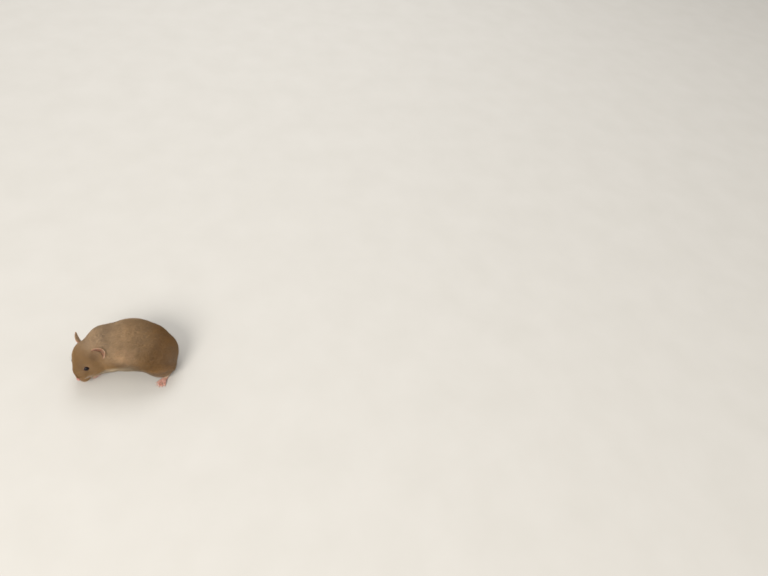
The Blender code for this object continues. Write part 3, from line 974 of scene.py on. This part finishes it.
tones = np.clip(0.5 + TONE_SPREAD * chance.standard_normal(len(roots)), 0, 1)
tones = np.maximum(tones, SHORT_COAT_TONE - SHORT_COAT_TONE * ease(root_rows[:, 0], 1.0, 3.2))
root_nodes = nearest_nodes(roots)
coats = []
for region, nodes in REGIONS.items():
    members = np.flatnonzero(np.isin(root_nodes, nodes) & ~blocked)
    members = members[np.argsort(roots[members, 1], kind="stable")]
    parts = math.ceil(len(members) / PIECE_TUFTS)
    for number, chosen in enumerate(np.array_split(members, parts), start=1):
        name = f"coat_{region}_{number}" if parts > 1 else f"coat_{region}"
        coats.append(coat_piece(name, *(values[chosen] for values in (
            roots, mids, tips, root_normals, sides, widths, tones))))
print("coat pieces:", {piece.name: len(piece.data.polygons) for piece in coats})

# %% [markdown]
# Ears and lids have a coat of their own: fine down, too short to lie in tufts but enough to
# soften an edge.  It is laid over the finished piece.  On an ear it grows from the root to
# the rim, dense on the back and sparse in the hollow.  On a lid it grows away from the rim.

# %% Down on ears and lids
DOWN_WIDTH = 0.10 * MM
DOWN_HEIGHTS = (0.09, 0.12)  # of mid points and tips, as shares of the length
DOWN_TURN = 0.22
LID_DOWN = 26.0  # tufts on each square mm
LID_DOWN_LENGTH = 0.75 * MM


def down_piece(name, piece, density, away, reach):
    """Short tufts over a piece: how dense, which way and how long, for each of its points."""
    points = points_of(piece.data)
    where = spread(points, triangles_of(piece.data), density * TUFT_SHARE)
    starts, facing = at(points, *where), unit(at(normals_of(piece.data), *where))
    away = flat(at(away, *where) + DOWN_TURN * chance.standard_normal(starts.shape), facing)
    length = (at(reach, *where) * chance.uniform(0.6, 1.25, len(starts)))[:, None]
    middles = starts + away * length * 0.5 + facing * length * DOWN_HEIGHTS[0]
    ends = starts + away * length + facing * length * DOWN_HEIGHTS[1]
    return coat_piece(name, starts, middles, ends, facing, unit(np.cross(facing, away)),
                      np.full(len(starts), DOWN_WIDTH), chance.uniform(0.35, 0.8, len(starts)))


def ear_down(side):
    mesh = ears[side].data
    root, growth, across, opening = (np.array(row) for row in ear_axes(side))
    height = (points_of(mesh) - root) @ growth / EAR_LENGTH
    back = ease(-(normals_of(mesh) @ opening), -0.1, 0.5)
    density = (2.5 + 15.0 * back) * ease(height, 0.12, 0.3)
    away = np.tile(growth, (len(height), 1))
    return down_piece("coat_ear_" + side, ears[side], density, away, (0.55 + 0.35 * back) * MM)


def lid_down(side):
    out = np.array(eye_axes(side).to_3x3().col[2])
    from_middle = points_of(lids[side].data) - np.array(eye_places[side])
    reach = np.linalg.norm(from_middle, axis=1)
    away = unit(from_middle - (from_middle @ out)[:, None] * out)
    density = LID_DOWN * ease(reach, 3.2 * MM, 3.34 * MM)
    length = np.full(len(reach), LID_DOWN_LENGTH)
    return down_piece("coat_lids_" + side, lids[side], density, away, length)


down = [ear_down(side) for side in ears] + [lid_down(side) for side in lids]
print("down:", {piece.name: len(piece.data.polygons) for piece in down})

# %% [markdown]
# ## Whiskers
#
# A hamster feels its way with long stiff whiskers in rows on each pad, a few over each eye
# and some on the chin.  Each is a thin tapering tube.  The curve of its middle line bends
# back and droops with its length, and a ring of three points is carried along that curve.

# %% Whiskers
WHISKER_STEPS = 9
WHISKER_RADIUS = 0.075 * MM
WHISKER_TAPER = 0.92  # of the radius is lost towards the tip
WHISKER_SINK = 0.3 * MM
DROOP = Vector((0, 0, -0.08))


def whisker(start, way, bend, length):
    """Rings of a tapering tube along a curve, closed at both ends, as points and faces."""
    rings, faces = [], []
    for step in range(WHISKER_STEPS + 1):
        share = step / WHISKER_STEPS
        place = start + (way * share + bend * share ** 2) * length
        along = (way + bend * 2 * share).normalized()
        first = along.orthogonal().normalized()
        second = along.cross(first)
        radius = WHISKER_RADIUS * (1 - WHISKER_TAPER * share)
        for turn in (0, 2 * math.pi / 3, 4 * math.pi / 3):
            rings.append(place + (first * math.cos(turn) + second * math.sin(turn)) * radius)
    last = WHISKER_STEPS * 3
    for base in range(0, last, 3):
        for corner, after in ((0, 1), (1, 2), (2, 0)):
            faces.append((base + corner, base + after, base + 3 + after, base + 3 + corner))
    return rings, faces + [(2, 1, 0), (last, last + 1, last + 2)]


def whisker_roots(side):
    """Root on the head in mm, length in mm and lift of each whisker on one side."""
    for row in range(4):
        for place in range(5):
            root = (28.6 - 1.3 * place, (3.4 + 1.0 * place) * side, -4.4 - 1.2 * row)
            yield root, 10.0 + 2.8 * place, 0.0
    for place in range(3):
        yield (16.0 - 2.2 * place, 8.5 * side, 10.0), 8.0, 0.9
    for place in range(2):
        yield (21.0 - 2 * place, 3.0 * side, -15.5), 5.0, -0.2


def make_whiskers():
    points, faces = [], []
    for side in (1, -1):
        for root, length, lift in whisker_roots(side):
            start, out = skin_tree.find_nearest(on_head(*root))[:2]
            way = (head_left * side * 0.66 + out * 0.12 - head_forward * 0.50 + head_up * lift
                   + Vector(chance.normal(0, 0.06, 3))).normalized()
            tube, sheets = whisker(start - out * WHISKER_SINK, way, DROOP - head_forward * 0.34,
                                   length * MM)
            faces += [tuple(corner + len(points) for corner in sheet) for sheet in sheets]
            points += tube
    mesh = bpy.data.meshes.new("whiskers")
    mesh.from_pydata([tuple(point) for point in points], [], faces)
    mesh.update()
    return dress(link("whiskers", mesh), "claw")


whiskers = make_whiskers()
print("whiskers:", len(whiskers.data.polygons), "faces")

# %% [markdown]
# ## Colours
#
# The coat is a golden one: orange-brown on the head, warm tan over the shoulders and flanks,
# browner towards the rump, where painted shade darkens it further, and ivory below.  Painted
# shade also darkens the fur round the roots of the ears.  An image could be painted over the
# body, but a rule in nodes stays sharp at any size and costs nothing.  It measures where a
# point lies, along the body, over the floor and along the head's own axes, lets a slow noise
# move each border a little, and mixes the colours.  The skin and the coat share the one rule,
# so their markings and painted shade always agree.

# %% Nodes, one line at a time
def srgb(*channels):
    """A colour given from 0 to 255 as the linear value that a socket holds."""
    return tuple(value / 12.92 if value <= 0.04045 else ((value + 0.055) / 1.055) ** 2.4
                 for value in (channel / 255 for channel in channels)) + (1.0,)


class Finish:
    """A material for some pieces, and short ways to add the nodes before its shader."""

    def __init__(self, name, pieces, sockets):
        self.material = bpy.data.materials.new(name)
        self.material.use_nodes = True
        self.tree = self.material.node_tree
        self.shader = self.tree.nodes["Principled BSDF"]
        self.fill(self.shader, sockets)
        coordinates = self.node("TexCoord", {}, "Object")
        self.place = self.node("VectorMath", {0: coordinates, "Scale": 1 / MM}, operation="SCALE")
        for piece in pieces:
            piece.data.materials.clear()
            piece.data.materials.append(self.material)

    def fill(self, node, sockets):
        """Link each socket to a value of another node, or set it to a constant."""
        for socket, value in sockets.items():
            if isinstance(value, bpy.types.NodeSocket):
                self.tree.links.new(value, node.inputs[socket])
            else:
                node.inputs[socket].default_value = value

    def node(self, kind, sockets, output=0, **settings):
        node = self.tree.nodes.new("ShaderNode" + kind)
        for setting, value in settings.items():
            setattr(node, setting, value)
        self.fill(node, sockets)
        return node.outputs[output]

    def vector(self, operation, first, second, output="Value"):
        return self.node("VectorMath", {0: first, 1: list(second)}, output, operation=operation)

    def from_point(self, point):
        """How far a place lies from a point, in mm."""
        return self.vector("DISTANCE", self.place, point / MM)

    def along(self, start, way):
        """How far a place lies from a start along a direction, in mm."""
        start = [value / MM for value in start]
        moved = self.vector("SUBTRACT", self.place, start, "Vector")
        return self.vector("DOT_PRODUCT", moved, way)

    def number(self, operation, first, second=0.0):
        return self.node("Math", {0: first, 1: second}, operation=operation)

    def times(self, first, second):
        return self.number("MULTIPLY", first, second)

    def soft(self, value, low, high, start=0.0, end=1.0):
        """From start below low to end above high, smoothly."""
        return self.node("MapRange", {"Value": value, "From Min": low, "From Max": high,
                                      "To Min": start, "To Max": end},
                         interpolation_type="SMOOTHSTEP")

    def inside(self, *ranges):
        """1 where every value is past its range and 0 where one hasn't reached it."""
        share, *others = [self.soft(*each) for each in ranges]
        for other in others:
            share = self.times(share, other)
        return share

    def noise(self, size, detail=3.0):
        """Noise from 0 to 1 whose patches are about that many mm across."""
        return self.node("TexNoise", {"Vector": self.place, "Scale": 1 / size, "Detail": detail},
                         "Fac")

    def pebbles(self, scale):
        return self.node("TexVoronoi", {"Vector": self.place, "Scale": scale}, "Distance")

    def mix(self, share, first, second, blend_type="MIX"):
        return self.node("Mix", {"Factor": share, 6: first, 7: second}, 2, data_type="RGBA",
                         blend_type=blend_type)

    def tint(self, first, second):
        return self.mix(1.0, first, second, "MULTIPLY")

    def attribute(self, name):
        return self.node("Attribute", {}, "Fac", attribute_name=name)

    def bump(self, height, depth, strength):
        """Raise the surface by height, where 1 stands for that many mm."""
        sockets = {"Height": height, "Distance": depth * MM, "Strength": strength}
        self.fill(self.shader, {"Normal": self.node("Bump", sockets)})

    def rough(self, value):
        self.fill(self.shader, {"Roughness": value})

    def colour(self, value):
        self.fill(self.shader, {"Base Color": value})


# %% The markings and painted shade, for skin and coat alike
HEAD_ORANGE = srgb(166, 128, 82)
SHOULDER_TAN = srgb(194, 161, 123)
FLANK_PALE = srgb(209, 171, 128)
BACK_GOLD = srgb(188, 151, 107)
# browner coat of the rump, darkened further by painted shade
RUMP_BROWN_AND_SHADE = srgb(157, 113, 57)
BELLY_IVORY = srgb(224, 202, 168)
CHEEK_DARK = srgb(134, 108, 86)
# dark fur round the ear roots together with painted shade from the ears
EAR_ROOT_BROWN_AND_SHADE = srgb(114, 80, 50)


def markings_and_shade(finish):
    """The colour of the coat and its painted shade: layers over each other, with the share that
    each has.
    """
    wander = finish.number("SUBTRACT", finish.noise(9.0), 0.5)
    aft, height, forward = (
        finish.number("ADD", finish.along(start, way), finish.times(wander, sway))
        for start, way, sway in (((0, 0, 0), (0, 1, 0), 16.0), ((0, 0, 0), (0, 0, 1), 7.0),
                                 (head_centre, head_forward, 8.0)))
    head_height = finish.along(head_centre, head_up)
    # share of the rump's brown coat and painted shade: more towards the hind end and lower down
    rump = finish.number("ADD", aft, finish.soft(height, 60, 36, -9, 6))
    cheek = finish.inside((forward, -15, -8), (forward, 1, -6), (head_height, 4, -4))
    jaw = finish.inside((head_height, -6.5, -12.5), (forward, -14, -2))
    pale = finish.number("MAXIMUM", finish.soft(height, 11.5, 4.5), jaw)
    layers = [(finish.soft(aft, -22, 18), BACK_GOLD),
              (finish.inside((aft, -14, -3), (aft, 22, 10), (height, 55, 48)), FLANK_PALE),
              (finish.soft(rump, 6, 46), RUMP_BROWN_AND_SHADE),
              (finish.soft(forward, -16, 2), HEAD_ORANGE),
              (finish.times(cheek, 0.45), CHEEK_DARK)]
    # darker round each ear's root: dark fur there plus painted shade that the ear would cast on
    # the fur
    for side in ears:
        from_root = finish.from_point(ear_axes(side)[0])
        layers.append((finish.soft(from_root, 8.5, 2.0, 0.0, 0.55), EAR_ROOT_BROWN_AND_SHADE))
    layers.append((finish.times(pale, 0.85), BELLY_IVORY))
    colour = SHOULDER_TAN
    for share, layer in layers:
        colour = finish.mix(share, colour, layer)
    return colour


# %% [markdown]
# ## The coat's finish
#
# Each hair is slate-grey at its root and coloured above, and the darkest hairs are ticked
# among the others.  The rise of a tuft gives the first and its tone the second.  The map of
# a tuft runs across it and along it, so bands across the map part it into single hairs.  Fur
# shines softly all over rather than at one spot, which sheen and a high roughness give.

# %% Coat
HAIRS_IN_TUFT = 3
TICKING = (0.05, 0.035, 0.025, 1.0)
SLATE = (0.19, 0.16, 0.13, 1.0)

finish = Finish("golden_coat", coats + down, {"Sheen Weight": 0.25, "Sheen Roughness": 0.5,
                                              "Specular IOR Level": 0.22})
colour = markings_and_shade(finish)
tone = finish.attribute("tone")
across = finish.node("SeparateXYZ", {0: finish.node("UVMap", {}, uv_map="OFBake")})
band = finish.number("SINE", finish.times(across, 2 * math.pi * HAIRS_IN_TUFT / PATCH))
colour = finish.tint(colour, finish.soft(tone, 0.0, 1.0, 0.84, 1.15))
colour = finish.tint(colour, finish.soft(band, -1.0, 1.0, 0.90, 1.08))
colour = finish.mix(finish.soft(tone, 0.15, 0.03), colour, finish.mix(0.6, colour, TICKING))
root = finish.mix(0.12, colour, SLATE)
finish.colour(finish.mix(finish.soft(finish.attribute("rise"), 0.02, 0.5), root, colour))
finish.rough(finish.soft(tone, 0.0, 1.0, 0.80, 0.66))
finish.bump(band, 0.03, 0.7)
print("coat finished")

# %% [markdown]
# ## Skin, nose, lids and ears
#
# Under the coat the skin takes the coat's own colours, darker, so that a parting in the fur
# never shows a stranger's colour.  Bare skin is pink and lets a little light through: on the
# feet it is finely pebbled, on the nose it is moist, with painted shade in its nostrils and
# groove, and the ears are thin, darker towards the hollow with painted shade and paler on the
# rim.

# %% Skin
PINK = srgb(206, 158, 143)
FLUSH = srgb(180, 120, 106)
LID_BROWN = srgb(92, 60, 48)
UNDER_COAT = (0.98, 0.93, 0.88, 1.0)
BARENESS = {"foot": 1.0, "tail": 0.6}  # 0 on all other parts

bare_row = [BARENESS.get(kind_of(node), 0.0) for node in nearest_nodes(skin_points)]
lip_row = ease(from_paths(skin_points, mouth, skin_tree), 2 * LIP_EDGE, LIP_EDGE)
store(skin.data, "bare", np.maximum(blur(bare_row, skin_edges, 8), lip_row))
dress(skin, "foot_skin", *FLESH)
finish = Finish("skin", [skin], {"Subsurface Weight": 0.15, "Subsurface Scale": 0.002})
under = finish.tint(markings_and_shade(finish), UNDER_COAT)
for eye_place in eye_places.values():
    under = finish.mix(finish.soft(finish.from_point(eye_place), 4.6, 3.8), under, LID_BROWN)
flesh = finish.mix(finish.soft(finish.noise(2.5), 0.35, 0.7), PINK, FLUSH)
tip = finish.soft(finish.along(nose_place, head_forward), -3.0, 0.5, 0.0, 0.6)
finish.colour(finish.mix(finish.number("MAXIMUM", finish.attribute("bare"), tip), under, flesh))
pebbles = finish.pebbles(2.2)
finish.rough(finish.soft(pebbles, 0.0, 0.6, 0.62, 0.48))
finish.bump(finish.number("ADD", pebbles, finish.noise(0.9)), 0.09, 0.8)
print("skin finished")

# %% Nose, lids and ears
finish = Finish("nose_skin", [nose], {"Subsurface Weight": 0.25, "Subsurface Scale": 0.001})
pad = finish.mix(finish.noise(0.9), srgb(192, 138, 122), srgb(158, 102, 90))
# painted shade darkens the pad into its nostrils and groove
finish.colour(finish.mix(finish.attribute("inside"), pad, srgb(70, 34, 32)))
grain = finish.pebbles(4.5)
finish.rough(finish.soft(grain, 0.0, 0.6, 0.46, 0.32))
finish.bump(grain, 0.06, 0.7)

finish = Finish("lid_skin", lids.values(), {"Roughness": 0.42})
finish.colour(finish.mix(finish.noise(0.7), LID_BROWN, srgb(52, 32, 28)))
finish.bump(finish.noise(0.25), 0.05, 0.6)

finish = Finish("ear_skin", ears.values(), {"Subsurface Weight": 0.3, "Subsurface Scale": 0.0015})
# painted shade: the leaf darkens from its pale rim into the hollow
hollow = finish.soft(finish.attribute("hollow"), 0.05, 0.7)
leaf = finish.mix(hollow, srgb(174, 136, 110), srgb(122, 84, 62))
veins = finish.soft(finish.noise(1.8, 4.0), 0.50, 0.62, 0.0, 0.35)
finish.colour(finish.mix(veins, leaf, srgb(128, 86, 66)))
finish.rough(finish.soft(finish.noise(1.2), 0.3, 0.7, 0.52, 0.66))
finish.bump(finish.noise(0.5, 4.0), 0.10, 0.6)
print("nose, lids and ears finished")

# %% [markdown]
# ## Eyes, claws and whiskers
#
# The eye is almost black and wet, with a claret glow towards its edge, where the light
# reaches the iris.  Claws and whiskers are horn: pale, a little streaked and softly glossy.

# %% Eyes, claws and whiskers
finish = Finish("eye", eyes, {"Roughness": 0.06, "Specular IOR Level": 0.26})
iris = finish.soft(finish.attribute("front"), 0.90, 0.55)
iris = finish.mix(iris, srgb(14, 7, 7), srgb(42, 17, 14))
streaks = finish.soft(finish.noise(0.35, 4.0), 0.4, 0.7, 0.0, 0.4)
finish.colour(finish.mix(streaks, iris, srgb(11, 6, 6)))

for name, piece, pale, dark, size in (
        ("claw_horn", claws, srgb(226, 200, 180), srgb(178, 132, 116), 0.8),
        ("whisker_horn", whiskers, srgb(228, 218, 204), srgb(120, 100, 84), 6.0)):
    finish = Finish(name, [piece], {"Specular IOR Level": 0.45})
    streaks = finish.noise(size)
    finish.colour(finish.mix(finish.soft(streaks, 0.3, 0.7), pale, dark))
    finish.rough(finish.soft(streaks, 0.3, 0.7, 0.30, 0.42))
    finish.bump(finish.noise(size * 0.4, 2.0), 0.03, 0.5)
print("eyes, claws and whiskers finished")

# %% [markdown]
# ## Floor, light and camera
#
# The animal stands on a plain pale floor under soft studio light: a large lamp high on the
# side that its head points to, a weaker and cooler one on its other side, and an even sky.
# The camera looks down at the animal's left side from a little behind.

# %% Floor
bm = bmesh.new()
bmesh.ops.create_grid(bm, x_segments=1, y_segments=1, size=12.0)
floor = new_piece("floor", bm)
finish = Finish("pale_floor", [floor], {"Roughness": 0.7})
finish.colour(finish.mix(finish.noise(60.0), srgb(200, 196, 188), srgb(208, 204, 197)))
finish.bump(finish.noise(1.5), 0.1, 0.3)
floor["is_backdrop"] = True
print("floor:", round(floor.dimensions.x, 1), "m wide")

# %% Light
LAMP_AIM = Vector((0, 0, 0.03))


def lamp(name, place, size, power, colour):
    data = bpy.data.lights.new(name, "AREA")
    data.shape = "DISK"
    data.size, data.energy, data.color = size, power, colour
    light = link(name, data)
    light.location = place
    light.rotation_euler = (LAMP_AIM - Vector(place)).to_track_quat("-Z", "Y").to_euler()


lamp("key_light", (1.90, -0.90, 1.70), 1.4, 60.0, (1.0, 0.975, 0.94))
lamp("back_light", (-1.6, 0.2, 2.0), 1.6, 22.0, (0.95, 0.97, 1.0))
world = bpy.data.worlds.new("soft_sky")
world.use_nodes = True
sky = world.node_tree.nodes["Background"].inputs
sky["Color"].default_value = (1.0, 0.985, 0.96, 1.0)
sky["Strength"].default_value = 0.66
bpy.context.scene.world = world
bpy.context.scene.view_settings.view_transform = "Standard"
print("lamps:", [light.name for light in bpy.data.lights])

# %% Camera
CAMERA_PLACE = Vector((0.4878, 0.1717, 0.6260))
CAMERA_AIM = Vector((-0.1124, 0.3375, 0.0))
CAMERA_ROLL = math.radians(8.67)

data = bpy.data.cameras.new("camera")
data.lens = 28.125  # mm
data.sensor_width = 36.0
data.clip_start = 0.01
camera = link("camera", data)
look = (CAMERA_AIM - CAMERA_PLACE).to_track_quat("-Z", "Y").to_matrix().to_4x4()
camera.matrix_world = (Matrix.Translation(CAMERA_PLACE) @ look
                       @ Matrix.Rotation(CAMERA_ROLL, 4, "Z"))
bpy.context.scene.camera = camera
print("camera at", [round(value, 2) for value in CAMERA_PLACE], "m")

# %% [markdown]
# ## Measure and finish
#
# The dressed animal has to stay in the box of its solids, so both boxes are written down
# side by side.

# %% Sizes
bpy.context.view_layer.update()
visual_box = [list(corner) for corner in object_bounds()]
print("solids, mm:", [in_mm(corner) for corner in cad_box])
print("dressed, mm:", [in_mm(corner) for corner in visual_box])
